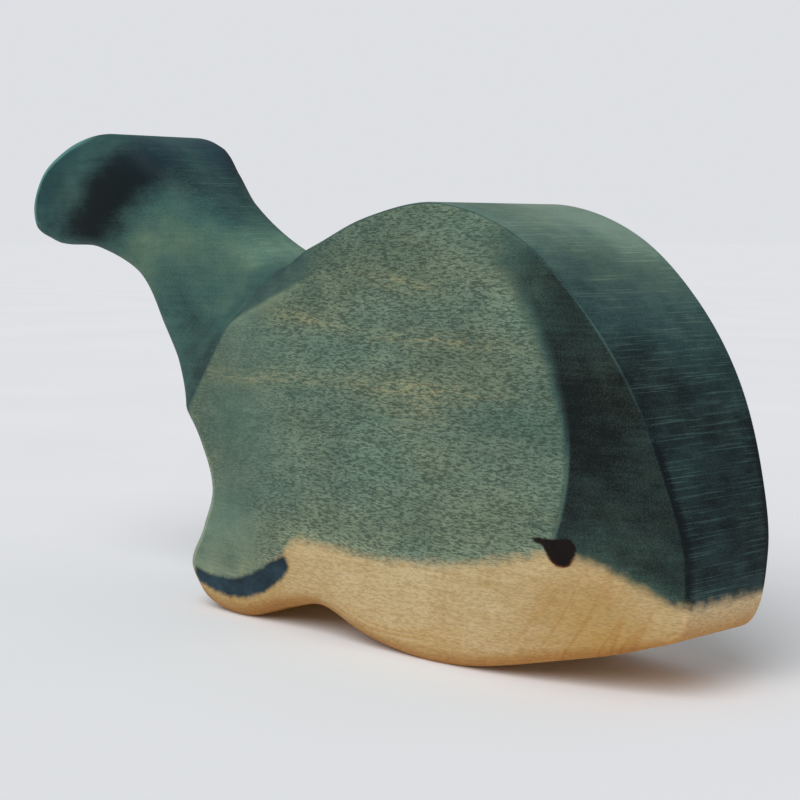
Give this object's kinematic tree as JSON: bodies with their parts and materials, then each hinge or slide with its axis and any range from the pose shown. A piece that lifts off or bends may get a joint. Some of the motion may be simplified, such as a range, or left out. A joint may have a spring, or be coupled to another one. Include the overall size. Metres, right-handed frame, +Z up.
{
  "type": "whale figurine",
  "caption": "Carved wooden whale standing on its belly and flipper, tail raised, back stained teal above a bare belly, with a dark dab for each eye.",
  "frame": {"origin": "on the floor, under the middle of the length and of the thickness", "axes": "+X towards the nose, +Y towards the figure's left side, +Z up"},
  "size_m": [0.1636, 0.0316, 0.0892],
  "materials": {
    "bare_maple": "sanded, oiled, satin",
    "teal_stain": "water stain on sanded maple, matt",
    "eye_stain": "dark brown stain, matt",
    "navy_stain": "navy stain, matt",
    "shade_stain": "near-black stain, matt"
  },
  "bodies": {
    "root": {"carved_body": "bare_maple", "teal_wash": "teal_stain", "eye_right": "eye_stain", "eye_left": "eye_stain", "flipper_stroke_right": "navy_stain", "flipper_stroke_left": "navy_stain", "fluke_shade_right": "shade_stain", "fluke_shade_left": "shade_stain"}
  },
  "joints": []
}
